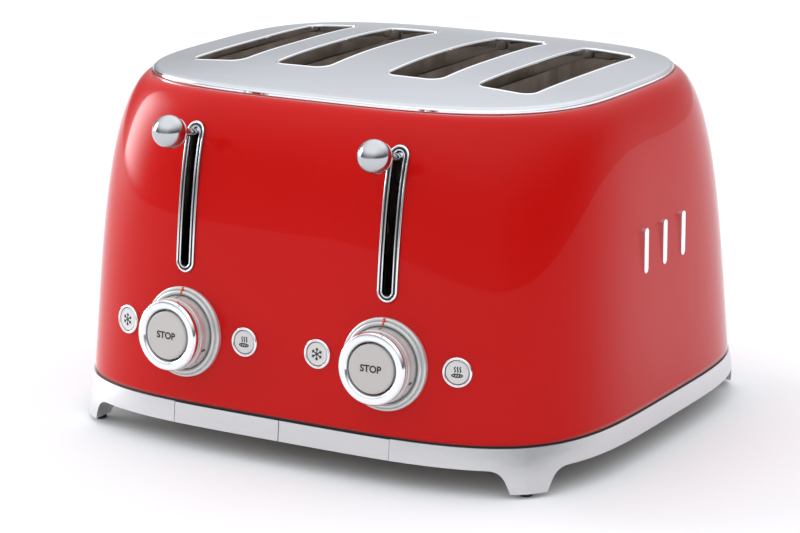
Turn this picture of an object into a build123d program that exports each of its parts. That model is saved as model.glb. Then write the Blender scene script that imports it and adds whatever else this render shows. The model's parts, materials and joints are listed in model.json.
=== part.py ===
from build123d import *

import os
from math import atan2, cos, pi, sin

# A square four-slot pop-up toaster, in millimetres. +Z is up, the controls face -Y, and the origin is
# the centre of the footprint's bounding box, on the surface that the toaster stands on.
# Two like units stand side by side, each with two bread slots, one lever and one set of controls.

# Driving dimensions -------------------------------------------------------------------------------
WIDTH = 342.0
HEIGHT = 215.0
BODY_DEPTH = 303.2
BALL_R = 9.5
BALL_REACH = 154.7  # the lever balls' centres, forward of the body's centre
BODY_Y = (BALL_REACH + BALL_R - BODY_DEPTH / 2) / 2  # centres the whole footprint on the origin

BAND_LOW = 15.8
BAND_TOP = 27.8
BAND_FLARE = 1.4
SEAM = 1.3
SHELL_LOW = BAND_TOP + SEAM
SHELL_TOP = 203.0
SHELL_X = WIDTH / 2 - 2.0
SHELL_Y = BODY_DEPTH / 2 - 2.0
SHELL_WALL = 1.6
TAPER_X = 24.5
TAPER_Y = 35.1
LOW_POWER = 4.1
TOP_POWER = 3.4
LEAN = 0.38  # the share of the taper that is straight lean, the rest being the rounded shoulder

UNIT_X = 66.5
SLOT_SPREAD = 29.2
SLOT_WIDTH = 34.7
SLOT_LENGTH = 135.0
SLOT_Y = 1.8
SLOT_CORNER = 7.5
FLANGE_LOW = 204.6

LEVER_Z = 181.3
LEVER_TRAVEL = 72.0
BALL_RISE = 5.1  # how far the bent stem lifts the ball
DIAL_Z = 69.0
DIAL_R = 26.0
KNOB_R = 21.0
BUTTON_SPREAD = 42.4
BUTTON_R = 8.5

SHEET = 1.0
FRONT_PLATE_Y = -76.0
REAR_PLATE_Y = 79.0
PLATE_X = 134.0
HEATER_SPREAD = 29.2
GUARD_REST = 16.4
GUARD_TRAVEL = 5.0
ROD_Y = -95.0
ROD_R = 3.0
RACK_Z = 126.0
TRAY_SEAM = 71.5
FLOOR_LOW = 16.4
FLOOR_TOP = 18.0
TRAY_LOW = 18.4
TRAY_TOP = 26.4

SIDES = (("left", -1), ("right", 1))
os.makedirs("parts", exist_ok=True)


# Shared shapes ------------------------------------------------------------------------------------
def level(z):
    """The horizontal plane at height z, centred on the body."""
    return Plane(origin=(0, BODY_Y, z))


def facing(y):
    """The upright plane at y from the body's centre, x to the right and y up, facing the user."""
    return Plane(origin=(0, BODY_Y + y, 0), x_dir=(1, 0, 0), z_dir=(0, -1, 0))


def sideways(x):
    """The upright plane at x, its x towards the back and its y up, facing +X."""
    return Plane(origin=(x, BODY_Y, 0), x_dir=(0, 1, 0), z_dir=(1, 0, 0))


def plan_point(half_x, half_y, power, angle):
    """A point of the rounded-square plan at a polar angle."""
    c, s = cos(angle), sin(angle)
    reach = ((abs(c) / half_x) ** power + (abs(s) / half_y) ** power) ** (-1 / power)
    return (reach * c, reach * s)


def plan(half_x, half_y, power, count=48):
    """The points of the rounded-square plan, for a closed spline."""
    return [plan_point(half_x, half_y, power, 2 * pi * k / count) for k in range(count)]


def taper_share(t):
    """How much of the taper is used at height share t, from 0 at the seam to 1 at the top edge."""
    shoulder = 1 - (1 - t**4) ** 0.52
    return LEAN * t + (1 - LEAN) * shoulder


def body_section(z, growth=0.0):
    """Half width, half depth and power of the body's plan at height z, grown outwards."""
    share = taper_share(min(max((z - SHELL_LOW) / (SHELL_TOP - SHELL_LOW), 0.0), 1.0))
    power = LOW_POWER + (TOP_POWER - LOW_POWER) * share
    return SHELL_X + growth - TAPER_X * share, SHELL_Y + growth - TAPER_Y * share, power


def body_block(growth=0.0):
    """The body's outer form as one solid, grown by growth sideways."""
    with BuildPart() as block:
        for k in range(13):
            rise = 1 - (1 - k / 12) ** 1.35  # sections crowd towards the rounded shoulder
            z = SHELL_LOW + rise * (SHELL_TOP - SHELL_LOW)
            with BuildSketch(level(z)):
                with BuildLine():
                    Spline(*plan(*body_section(z, growth)), periodic=True)
                make_face()
        loft()
    return block.part


def front_y(x, z):
    """Where the body's front surface is at x and z, from the body's centre."""
    half_x, half_y, power = body_section(z)
    return -half_y * (1 - (abs(x) / half_x) ** power) ** (1 / power)


def side_x(y, z):
    """Where the body's right surface is at y and z."""
    half_x, half_y, power = body_section(z)
    return half_x * (1 - (abs(y) / half_y) ** power) ** (1 / power)


def control_plane(x, z):
    """The plane that lies on the front surface at x and z, its z pointing out and its x level."""
    step = 1.0
    along = (front_y(x + step, z) - front_y(x - step, z)) / (2 * step)
    upward = (front_y(x, z + step) - front_y(x, z - step)) / (2 * step)
    return Plane(origin=(x, BODY_Y + front_y(x, z), z), x_dir=(1, along, 0), z_dir=(along, -1, upward))


def pull(plane, distance):
    """A control plane moved out from the surface by distance."""
    return plane.offset(distance)


def slot_centres(sign):
    """The two bread slots' x in one unit."""
    return (sign * (UNIT_X - SLOT_SPREAD), sign * (UNIT_X + SLOT_SPREAD))


def heater_places(sign):
    """The three heater boards' x in one unit, from the middle of the toaster outwards."""
    return [sign * (UNIT_X + k * 2 * HEATER_SPREAD) for k in (-1, 0, 1)]


def save(part, name):
    """Labels a finished piece and writes it."""
    part.label = name
    export_step(part, f"parts/{name}.step")


OUTER = body_block()
PROUD = body_block(1.3)
NECK_LIMIT = body_block(-3.0)

CONTROLS = {}
for side, sign in SIDES:
    CONTROLS[f"dial_{side}"] = control_plane(sign * UNIT_X, DIAL_Z)
    CONTROLS[f"defrost_{side}"] = control_plane(sign * UNIT_X - BUTTON_SPREAD, DIAL_Z)
    CONTROLS[f"reheat_{side}"] = control_plane(sign * UNIT_X + BUTTON_SPREAD, DIAL_Z)


# Casing -------------------------------------------------------------------------------------------
LEVER_GAP = 6.0
BEZEL_WIDTH = 12.2
BEZEL_NECK = 9.0
DIAL_HOLE_R = 18.0
BUTTON_HOLE_R = 7.6
LIP = 5.0
GLAND_X = -110.0
GLAND_Z = 48.0
GLAND_R = 8.0
CORD_R = 3.6


def lever_slots(width):
    """Both upright lever slots' outlines, at a given width, in a facing sketch."""
    for _, sign in SIDES:
        with Locations((sign * UNIT_X, LEVER_Z - LEVER_TRAVEL / 2)):
            SlotCenterToCenter(LEVER_TRAVEL, width, rotation=90)


def make_shell():
    lip_x, lip_y, lip_power = body_section(SHELL_TOP)
    with BuildPart() as shell:
        add(OUTER)
        add(body_block(-SHELL_WALL), mode=Mode.SUBTRACT)
        with BuildSketch(level(SHELL_TOP - 1.2)):
            with BuildLine():
                Spline(*plan(lip_x - 1, lip_y - 1, lip_power), periodic=True)
            make_face()
        extrude(amount=1.2)
        with BuildSketch(level(SHELL_TOP - 3)):
            with BuildLine():
                Spline(*plan(lip_x - LIP, lip_y - LIP, lip_power), periodic=True)
            make_face()
        extrude(amount=6, mode=Mode.SUBTRACT)
        with BuildSketch(facing(0)):
            lever_slots(BEZEL_NECK)
        extrude(amount=BODY_DEPTH / 2, mode=Mode.SUBTRACT)
        for name, plane in CONTROLS.items():
            with BuildSketch(pull(plane, -12)):
                Circle(DIAL_HOLE_R if name.startswith("dial") else BUTTON_HOLE_R)
            extrude(amount=20, mode=Mode.SUBTRACT)
        with BuildSketch(facing(100)):
            with Locations((GLAND_X, GLAND_Z)):
                Circle(GLAND_R)
        extrude(amount=-60, mode=Mode.SUBTRACT)
    return shell.part


CROWN_DROP = 8.4
RIM_LOW = SHELL_TOP + 0.4
RIM_TOP = HEIGHT - CROWN_DROP
PLATE_SHEET = 1.2
COLLAR = 1.0


def crown(inset, drop):
    """The top plate's domed form, inset at the rim and lowered by drop."""
    half_x, half_y, power = body_section(SHELL_TOP)
    half_x -= inset
    half_y -= inset
    with BuildPart() as dome:
        with BuildSketch(level(RIM_LOW)):
            with BuildLine():
                Spline(*plan(half_x, half_y, power), periodic=True)
            make_face()
        extrude(amount=RIM_TOP - drop - RIM_LOW)
        for share in (1, 0.9, 0.75, 0.55, 0.3, 0.02):
            with BuildSketch(level(HEIGHT - CROWN_DROP * share**2 - drop)):
                with BuildLine():
                    Spline(*plan(half_x * share, half_y * share, power), periodic=True)
                make_face()
        loft()
    return dome.part


def slot_outlines(grow):
    """The four bread slots' outlines, grown all round, in a level sketch."""
    for _, sign in SIDES:
        for x in slot_centres(sign):
            with Locations((x, SLOT_Y)):
                RectangleRounded(SLOT_WIDTH + 2 * grow, SLOT_LENGTH + 2 * grow, SLOT_CORNER + grow)


def make_top_plate():
    with BuildPart() as collars:
        with BuildSketch(level(FLANGE_LOW)):
            slot_outlines(COLLAR)
        extrude(amount=HEIGHT - FLANGE_LOW)
        add(crown(0.5, 0.3), mode=Mode.INTERSECT)
    with BuildPart() as plate:
        add(crown(0.3, 0))
        add(crown(0.3 + PLATE_SHEET, PLATE_SHEET), mode=Mode.SUBTRACT)
        with BuildSketch(level(RIM_LOW)):
            with BuildLine():
                Spline(*plan(body_section(SHELL_TOP)[0] - LIP, body_section(SHELL_TOP)[1] - LIP, TOP_POWER), periodic=True)
            make_face()
        extrude(amount=0.2, mode=Mode.SUBTRACT)
        add(collars.part)
        with BuildSketch(level(FLANGE_LOW - 1)):
            slot_outlines(0)
        extrude(amount=HEIGHT, mode=Mode.SUBTRACT)
    return plate.part


FOOT_X = 136.0
FOOT_Y = 117.5
FOOT_LOW = 2.8
ARCH_END_X = 9.0
ARCH_END_Y = 10.5
FOOT_SLANT = 4.0
HORN = 2.2
PAD_R = 3.4
PAD_HEIGHT = 5.6
PAD_PLACES = [(sx * 143.0, sy * 124.1) for sx in (-1, 1) for sy in (-1, 1)]


def horned_point(half_x, half_y, horn, angle):
    """A point of the band's plan, which stands out as a ridge at each corner."""
    corner = atan2(half_y, half_x)
    bearing = abs(atan2(sin(angle), cos(angle)))
    bearing = min(bearing, pi - bearing)
    ridge = horn * max(0.0, 1 - abs(bearing - corner) / 0.22) ** 1.6
    x, y = plan_point(half_x, half_y, LOW_POWER, angle)
    return (x + ridge * cos(angle), y + ridge * sin(angle))


def horned_sides(half_x, half_y, horn):
    """The points of the band's four sides, which meet in a crease at the corners."""
    corner = atan2(half_y, half_x)
    turns = (-corner, corner, pi - corner, pi + corner, 2 * pi - corner)
    sides = []
    for first, last in zip(turns[:-1], turns[1:]):
        angles = [first + (last - first) * k / 16 for k in range(17)]
        sides.append([horned_point(half_x, half_y, horn, angle) for angle in angles])
    return sides


def make_band():
    with BuildPart() as band:
        for z, flare, horn in ((FOOT_LOW, 1.25, 1.0), (BAND_LOW, 1.0, 0.6), (BAND_TOP, 0.0, 0.1)):
            with BuildSketch(level(z)):
                growth = 0.6 + BAND_FLARE * flare
                with BuildLine():
                    for points in horned_sides(SHELL_X + growth, SHELL_Y + growth, HORN * horn):
                        Spline(*points)
                make_face()
        loft()
        with BuildSketch(level(BAND_LOW - 1.4)):
            with BuildLine():
                Spline(*plan(SHELL_X - 3.0, SHELL_Y - 3.0, LOW_POWER), periodic=True)
            make_face()
        extrude(amount=20, mode=Mode.SUBTRACT)
        for plane, span, run in ((facing(0), FOOT_X, ARCH_END_X), (sideways(0), FOOT_Y, ARCH_END_Y)):
            with BuildSketch(plane):
                with BuildLine():
                    low = (span + FOOT_SLANT, 0)
                    high = (span - run, BAND_LOW)
                    Spline(high, low, tangents=[(1, 0), (0.5, -1)])
                    Line(low, (-low[0], low[1]))
                    Spline((-low[0], low[1]), (-high[0], high[1]), tangents=[(0.5, 1), (1, 0)])
                    Line((-high[0], high[1]), high)
                make_face()
            extrude(amount=WIDTH, both=True, mode=Mode.SUBTRACT)
        with BuildSketch(level(BAND_LOW - 2)):
            with Locations((0, -SHELL_Y)):
                Rectangle(2 * TRAY_SEAM, 60)
        extrude(amount=20, mode=Mode.SUBTRACT)
        with BuildSketch(level(-1)):
            with Locations(*PAD_PLACES):
                Circle(PAD_R + 0.1)
        extrude(amount=PAD_HEIGHT + 1.4, mode=Mode.SUBTRACT)
    return band.part


def make_gasket():
    with BuildPart() as gasket:
        with BuildSketch(level(BAND_TOP)):
            with BuildLine():
                Spline(*plan(SHELL_X - 0.7, SHELL_Y - 0.7, LOW_POWER), periodic=True)
            make_face()
        extrude(amount=SEAM)
        with BuildSketch(level(BAND_TOP - 1)):
            with BuildLine():
                Spline(*plan(SHELL_X - 3.0, SHELL_Y - 3.0, LOW_POWER), periodic=True)
            make_face()
        extrude(amount=5, mode=Mode.SUBTRACT)
    return gasket.part


SCREW_PLACES = [(sx * 112.0, y) for sx in (-1, 1) for y in (-69.0, 86.0)]


def make_floor():
    with BuildPart() as floor:
        with BuildSketch(level(FLOOR_LOW)):
            with BuildLine():
                Spline(*plan(SHELL_X - 3.0, SHELL_Y - 3.0, LOW_POWER), periodic=True)
            make_face()
            with Locations(*SCREW_PLACES):
                Circle(2.1, mode=Mode.SUBTRACT)
            for _, sign in SIDES:
                with Locations((sign * 100, 8)):
                    with GridLocations(12, 14, 4, 8):
                        SlotOverall(9, 3, mode=Mode.SUBTRACT)
        extrude(amount=FLOOR_TOP - FLOOR_LOW)
    return floor.part


def make_feet():
    with BuildPart() as feet:
        with BuildSketch(level(0)):
            with Locations(*PAD_PLACES):
                Circle(PAD_R)
        extrude(amount=PAD_HEIGHT)
        chamfer(feet.edges().filter_by(GeomType.CIRCLE).group_by(Axis.Z)[0], 0.4)
    return feet.part


def make_screws():
    with BuildPart() as screws:
        with BuildSketch(level(FLOOR_LOW - 2)):
            with Locations(*SCREW_PLACES):
                Circle(3.6)
        extrude(amount=2)
        with BuildSketch(level(FLOOR_LOW)):
            with Locations(*SCREW_PLACES):
                Circle(1.7)
        extrude(amount=5)
        with BuildSketch(level(FLOOR_LOW - 2)):
            with Locations(*SCREW_PLACES):
                Rectangle(4.4, 0.9)
                Rectangle(0.9, 4.4)
        extrude(amount=1.2, mode=Mode.SUBTRACT)
    return screws.part


def make_gland():
    with BuildPart() as gland:
        with BuildSketch(facing(100)):
            with Locations((GLAND_X, GLAND_Z)):
                Circle(GLAND_R + 2.6)
        extrude(amount=-45.4)
        add(OUTER, mode=Mode.SUBTRACT)
        with BuildSketch(facing(100)):
            with Locations((GLAND_X, GLAND_Z)):
                Circle(GLAND_R)
        extrude(amount=-44)
        add(body_block(-4), mode=Mode.SUBTRACT)
        with BuildSketch(facing(100)):
            with Locations((GLAND_X, GLAND_Z)):
                Circle(CORD_R)
        extrude(amount=-60, mode=Mode.SUBTRACT)
    return gland.part


# Trim on the front --------------------------------------------------------------------------------
RING_BORE = 13.0
RING_NECK = 17.7
RING_STEPS = ((DIAL_R, 1.3), (24.4, 2.2), (22.9, 3.0))
BUTTON_BORE = BUTTON_R - 1.7
BADGE_Z = 118.0


def make_lever_bezel(sign):
    with BuildPart() as flange:
        with BuildSketch(facing(0)):
            with Locations((sign * UNIT_X, LEVER_Z - LEVER_TRAVEL / 2)):
                SlotCenterToCenter(LEVER_TRAVEL, BEZEL_WIDTH, rotation=90)
                SlotCenterToCenter(LEVER_TRAVEL, LEVER_GAP, rotation=90, mode=Mode.SUBTRACT)
        extrude(amount=BODY_DEPTH / 2 + 10)
        add(PROUD, mode=Mode.INTERSECT)
        add(OUTER, mode=Mode.SUBTRACT)
    with BuildPart() as bezel:
        with BuildSketch(facing(0)):
            with Locations((sign * UNIT_X, LEVER_Z - LEVER_TRAVEL / 2)):
                SlotCenterToCenter(LEVER_TRAVEL, BEZEL_NECK, rotation=90)
                SlotCenterToCenter(LEVER_TRAVEL, LEVER_GAP, rotation=90, mode=Mode.SUBTRACT)
        extrude(amount=BODY_DEPTH / 2 + 10)
        add(OUTER, mode=Mode.INTERSECT)
        add(NECK_LIMIT, mode=Mode.SUBTRACT)
        add(flange.part)
    return bezel.part


def make_dial_ring(plane):
    with BuildPart() as ring:
        for radius, height in RING_STEPS:
            with BuildSketch(pull(plane, -5)):
                Circle(radius)
            extrude(amount=5 + height)
        add(OUTER, mode=Mode.SUBTRACT)
        with BuildSketch(pull(plane, -7)):
            Circle(RING_NECK)
        extrude(amount=7.6)
        with BuildSketch(pull(plane, 0.6)):
            Circle(KNOB_R + 0.6)
        extrude(amount=5, mode=Mode.SUBTRACT)
        with BuildSketch(pull(plane, -10)):
            Circle(RING_BORE)
        extrude(amount=20, mode=Mode.SUBTRACT)
    return ring.part


def make_button_ring(plane):
    with BuildPart() as ring:
        with BuildSketch(pull(plane, -4)):
            Circle(BUTTON_R)
        extrude(amount=5.6)
        add(OUTER, mode=Mode.SUBTRACT)
        with BuildSketch(pull(plane, -5)):
            Circle(BUTTON_HOLE_R)
        extrude(amount=6.0)
        with BuildSketch(pull(plane, -10)):
            Circle(BUTTON_BORE)
        extrude(amount=20, mode=Mode.SUBTRACT)
    return ring.part


def make_badge():
    """Three plain upright bars on the right side, seated on the shell."""
    with BuildPart() as bars:
        for y in (-24.0, 0.0, 24.0):
            with BuildSketch(sideways(side_x(y, BADGE_Z) - 5)):
                with Locations((y, BADGE_Z)):
                    SlotOverall(26, 5, rotation=90)
            extrude(amount=6.4)
        add(OUTER, mode=Mode.SUBTRACT)
    return bars.part


# Frame inside the casing --------------------------------------------------------------------------
PLATE_LOW = 28.6
PLATE_HIGH = 198.0
LEG_X = 80.0
ROD_X = UNIT_X - 14.0
SHELF_DEPTH = 27.0
ARM_GAP = 9.0
ARM_LOW = RACK_Z - 12.0
ARM_HIGH = RACK_Z
WIRE_LEVELS = (64.0, 170.0)
WIRE_R = 1.2
LINER_LOW = 179.0


def guard_places(sign):
    """Each bread guard of one unit: its x at rest, and the way it closes."""
    return [(x + way * -GUARD_REST, way) for x in slot_centres(sign) for way in (1, -1)]


def make_end_plate(web_y, out):
    """An upright end plate, with its shelves and feet turned outwards by out."""
    middle = web_y + out * SHEET / 2
    with BuildPart() as plate:
        with BuildSketch(level(PLATE_LOW)):
            with Locations((0, middle)):
                Rectangle(2 * PLATE_X, SHEET)
        extrude(amount=PLATE_HIGH - PLATE_LOW)
        with BuildSketch(level(FLOOR_TOP)):
            for _, sign in SIDES:
                with Locations((sign * (LEG_X + PLATE_X) / 2, middle)):
                    Rectangle(PLATE_X - LEG_X, SHEET)
        extrude(amount=PLATE_LOW - FLOOR_TOP)
        with BuildSketch(level(FLOOR_TOP)):
            for _, sign in SIDES:
                with Locations((sign * 112, web_y + 7)):
                    Rectangle(24, 14)
            with Locations(*SCREW_PLACES):
                Circle(1.8, mode=Mode.SUBTRACT)
        extrude(amount=SHEET)
        for z in (PLATE_LOW, PLATE_HIGH - SHEET):
            with BuildSketch(level(z)):
                for _, sign in SIDES:
                    with Locations((sign * ROD_X, web_y + out * SHELF_DEPTH / 2)):
                        Rectangle(34, SHELF_DEPTH)
            extrude(amount=SHEET)
        with BuildSketch(facing(web_y)):
            for _, sign in SIDES:
                for x in slot_centres(sign):
                    with Locations((x, (ARM_HIGH + 3 + ARM_LOW - LEVER_TRAVEL - 3) / 2)):
                        Rectangle(ARM_GAP, ARM_HIGH - ARM_LOW + LEVER_TRAVEL + 6)
                for x, way in guard_places(sign):
                    with Locations(*[(x + way * GUARD_TRAVEL / 2, z) for z in WIRE_LEVELS]):
                        Rectangle(GUARD_TRAVEL + 4.4, 4.4)
        extrude(amount=3, both=True, mode=Mode.SUBTRACT)
    return plate.part


def make_liner(x):
    """The short sheet-metal throat under one bread slot."""
    with BuildPart() as liner:
        with BuildSketch(level(LINER_LOW)):
            with Locations((x, SLOT_Y)):
                RectangleRounded(SLOT_WIDTH + 2.6, SLOT_LENGTH + 2.6, SLOT_CORNER + 1.3)
                RectangleRounded(SLOT_WIDTH + 0.8, SLOT_LENGTH + 0.8, SLOT_CORNER + 0.4, mode=Mode.SUBTRACT)
        extrude(amount=FLANGE_LOW - LINER_LOW)
    return liner.part


INNER_LENGTH = REAR_PLATE_Y - FRONT_PLATE_Y - SHEET
INNER_Y = FRONT_PLATE_Y + SHEET + INNER_LENGTH / 2


def make_side_shield(sign):
    """The outer reflector, whose lower edge turns in as a chute for crumbs."""
    with BuildPart() as shield:
        with BuildSketch(facing(REAR_PLATE_Y)):
            with BuildLine():
                Polyline((sign * 131.5, 196), (sign * 131.5, 42), (sign * 74, 29.4))
            trace(line_width=0.8)
        extrude(amount=INNER_LENGTH)
    return shield.part


def make_centre_shield():
    with BuildPart() as shield:
        with BuildSketch(level(PLATE_LOW)):
            with Locations((0, INNER_Y)):
                Rectangle(0.8, INNER_LENGTH)
        extrude(amount=196 - PLATE_LOW)
    return shield.part


BOARD_LOW = 46.0
BOARD_HIGH = 184.0
BOARD_SHEET = 0.8
RIBBON = 0.4


def make_heater_board(x):
    with BuildPart() as board:
        with BuildSketch(sideways(x - BOARD_SHEET / 2)):
            with Locations((INNER_Y, (BOARD_LOW + BOARD_HIGH) / 2)):
                Rectangle(INNER_LENGTH, BOARD_HIGH - BOARD_LOW)
        extrude(amount=BOARD_SHEET)
    return board.part


def make_heater_ribbons():
    """The flat resistance ribbons on both faces of all six boards."""
    with BuildPart() as ribbons:
        for _, sign in SIDES:
            for x in heater_places(sign):
                for face in (x - BOARD_SHEET / 2 - RIBBON, x + BOARD_SHEET / 2):
                    with BuildSketch(sideways(face)):
                        with Locations((INNER_Y, 114)):
                            with GridLocations(0, 15, 1, 8):
                                Rectangle(INNER_LENGTH - 26, 1.6)
                    extrude(amount=RIBBON)
    return ribbons.part


def make_guide_rod(sign):
    with BuildPart() as rod:
        with BuildSketch(level(PLATE_LOW + SHEET)):
            with Locations((sign * ROD_X, ROD_Y)):
                Circle(ROD_R)
        extrude(amount=PLATE_HIGH - PLATE_LOW - 2 * SHEET)
    return rod.part


BUSH_LOW = 160.0
BUSH_HIGH = 191.0
BUSH_R = 6.5
SPRING_WIRE = 0.6
SPRING_R = 4.9
SPRING_TURNS = 15


def make_lift_spring(sign):
    height = BUSH_LOW - PLATE_LOW - SHEET - 2 * SPRING_WIRE - 0.4
    base = Plane(origin=(sign * ROD_X, BODY_Y + ROD_Y, PLATE_LOW + SHEET + SPRING_WIRE + 0.1))
    with BuildPart() as spring:
        with BuildLine(base) as path:
            Helix(pitch=height / SPRING_TURNS, height=height, radius=SPRING_R)
        with BuildSketch(Plane(origin=path.line @ 0, z_dir=path.line % 0)):
            Circle(SPRING_WIRE)
        sweep(path=path.line, is_frenet=True)
    return spring.part


# Controls -----------------------------------------------------------------------------------------
KNOB_HEIGHT = 16.6
KNOB_BASE = 1.4
CAP_R = 14.1
CAP_THICKNESS = 4.0
STOP_END = -24.0
HUB_R = 6.0
HUB_END = -27.0
POT_FACE = -19.0
BOARD_FACE = -28.0
BUTTON_STEM = 19.0


def make_knob(plane):
    with BuildPart() as knob:
        with BuildSketch(pull(plane, KNOB_BASE)):
            Circle(KNOB_R)
        extrude(amount=KNOB_HEIGHT - KNOB_BASE, taper=1.5)
        with BuildSketch(pull(plane, 8)):
            Circle(CAP_R + 0.4)
        extrude(amount=10, mode=Mode.SUBTRACT)
        with BuildSketch(pull(plane, KNOB_BASE)):
            Circle(KNOB_R - 2.4)
        extrude(amount=3.4, mode=Mode.SUBTRACT)
        with BuildSketch(pull(plane, HUB_END)):
            Circle(HUB_R)
        extrude(amount=6 - HUB_END)
        with BuildSketch(pull(plane, HUB_END)):
            Circle(3.9)
        extrude(amount=40, mode=Mode.SUBTRACT)
    return knob.part


def make_stop_button(plane):
    """The round button in the middle of a dial, on its long stem through the dial's hub."""
    with BuildPart() as button:
        with BuildSketch(pull(plane, KNOB_HEIGHT - 0.3)):
            Circle(CAP_R)
        extrude(amount=-CAP_THICKNESS)
        with BuildSketch(pull(plane, STOP_END)):
            Circle(3.5)
        extrude(amount=KNOB_HEIGHT - CAP_THICKNESS - STOP_END)
    return button.part


def make_small_button(plane):
    """A defrost or reheat button: its cap in the ring, and its stem towards the circuit board."""
    with BuildPart() as button:
        with BuildSketch(pull(plane, -3)):
            Circle(BUTTON_BORE - 0.3)
        extrude(amount=4.2)
        with BuildSketch(pull(plane, -3 - BUTTON_STEM)):
            Circle(2.6)
        extrude(amount=BUTTON_STEM + 1)
    return button.part


def make_dial_pot(plane):
    with BuildPart() as pot:
        with BuildSketch(pull(plane, BOARD_FACE)):
            RectangleRounded(22, 22, 2)
            Circle(HUB_R + 0.05, mode=Mode.SUBTRACT)
        extrude(amount=POT_FACE - BOARD_FACE)
    return pot.part


def make_control_board(plane, sign):
    with BuildPart() as board:
        with BuildSketch(pull(plane, BOARD_FACE - 1.6)):
            with Locations((0, -3)):
                Rectangle(104, 56)
        extrude(amount=1.6)
        with BuildSketch(pull(plane, BOARD_FACE - 1.6)):
            with Locations((sign * -34, 12)):
                Rectangle(20, 16)
            with Locations((sign * -34, -14), (sign * -22, -16)):
                Circle(4)
            with Locations((sign * 40, -16)):
                Rectangle(12, 18)
        extrude(amount=-9)
    return board.part


# Moving parts -------------------------------------------------------------------------------------
BRACKET_Y = -87.0
BRACKET_SHEET = 2.0
MAGNET_X = UNIT_X + 18.0
MAGNET_TOP = ARM_LOW - LEVER_TRAVEL - 0.5
BLADE = 2.4
FINGER_R = 1.2


def make_latch_magnet(sign):
    with BuildPart() as magnet:
        with BuildSketch(level(FLOOR_TOP)):
            with Locations((sign * MAGNET_X, -97)):
                RectangleRounded(17, 13, 2)
        extrude(amount=MAGNET_TOP - FLOOR_TOP - 3)
        with BuildSketch(level(MAGNET_TOP - 3)):
            with Locations((sign * MAGNET_X - 5, -97), (sign * MAGNET_X + 5, -97)):
                Rectangle(4, 9)
        extrude(amount=3)
    return magnet.part


def make_carriage(sign):
    """The bracket that slides on the guide rod, with its two bread racks and the latch armature."""
    with BuildPart() as carriage:
        with BuildSketch(level(BUSH_LOW)):
            with Locations((sign * ROD_X, ROD_Y)):
                Circle(BUSH_R)
            with Locations((sign * ROD_X, (ROD_Y + BRACKET_Y) / 2)):
                Rectangle(8, BRACKET_Y - ROD_Y)
            with Locations((sign * ROD_X, ROD_Y)):
                Circle(ROD_R + 0.06, mode=Mode.SUBTRACT)
        extrude(amount=BUSH_HIGH - BUSH_LOW)
        with BuildSketch(facing(BRACKET_Y)):
            with Locations((sign * (UNIT_X - 6), (ARM_LOW + BUSH_HIGH) / 2)):
                Rectangle(34, BUSH_HIGH - ARM_LOW)
            with Locations((sign * UNIT_X, (ARM_LOW + ARM_HIGH) / 2)):
                Rectangle(2 * SLOT_SPREAD + 12, ARM_HIGH - ARM_LOW)
        extrude(amount=BRACKET_SHEET)
        with BuildSketch(level(ARM_LOW)):
            with Locations((sign * MAGNET_X, BRACKET_Y - 8)):
                Rectangle(16, 13)
        extrude(amount=1.6)
        for x in slot_centres(sign):
            with BuildSketch(level(ARM_LOW)):
                with Locations((x, -79)):
                    Rectangle(6, 18)
                with Locations((x, -3)):
                    Rectangle(BLADE, 172)
            extrude(amount=ARM_HIGH - ARM_LOW - 2)
            with BuildSketch(sideways(x - 7)):
                with Locations((1.5, RACK_Z - 2.2)):
                    with GridLocations(15, 0, 9, 1):
                        Circle(FINGER_R)
            extrude(amount=14)
    return carriage.part


STEM_R = 2.2
COLLAR_R = 8.0
COLLAR_START = 3.7
COLLAR_LENGTH = 2.3
COLLAR_WEB = 1.2


def make_lever(sign):
    """The lever's ball and the collar behind it, on a stem that bends at the slot and runs in to the carriage."""
    x = sign * UNIT_X
    bend = 1 - front_y(UNIT_X, LEVER_Z)
    inner = BRACKET_SHEET - BRACKET_Y
    elbow = Vector(x, BODY_Y - bend, LEVER_Z)
    ball = Vector(x, BODY_Y - BALL_REACH, LEVER_Z + BALL_RISE)
    back = Plane(origin=ball, x_dir=(1, 0, 0), z_dir=elbow - ball)
    with BuildPart() as lever:
        with BuildSketch(facing(-inner)):
            with Locations((x, LEVER_Z)):
                Circle(STEM_R)
        extrude(amount=bend - inner)
        with Locations(elbow):
            Sphere(STEM_R)
        with BuildSketch(back):
            Circle(STEM_R)
        extrude(amount=(elbow - ball).length)
        with BuildSketch(back.offset(COLLAR_START)):
            Circle(COLLAR_R)
        extrude(amount=COLLAR_LENGTH)
        with BuildSketch(back.offset(COLLAR_START + COLLAR_LENGTH)):
            Circle(COLLAR_R)
        with BuildSketch(back.offset(COLLAR_START + 2 * COLLAR_LENGTH)):
            Circle(STEM_R + COLLAR_WEB)
        loft()
        with Locations(ball):
            Sphere(BALL_R)
    return lever.part


def make_guards(sign, way):
    """The wire guards of one unit that close the same way, one in each bread slot."""
    with BuildPart() as guards:
        for x, closes in guard_places(sign):
            if closes != way:
                continue
            with BuildSketch(facing(REAR_PLATE_Y + 5)):
                with Locations(*[(x, z) for z in WIRE_LEVELS]):
                    Circle(WIRE_R)
            extrude(amount=REAR_PLATE_Y - FRONT_PLATE_Y + 9)
            with BuildSketch(level(WIRE_LEVELS[0])):
                with Locations((x, 1.5)):
                    with GridLocations(0, 14.5, 1, 9):
                        Circle(0.8)
            extrude(amount=WIRE_LEVELS[1] - WIRE_LEVELS[0])
    return guards.part


TRAY_WALL = 0.8
TRAY_BACK = 96.0


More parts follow.
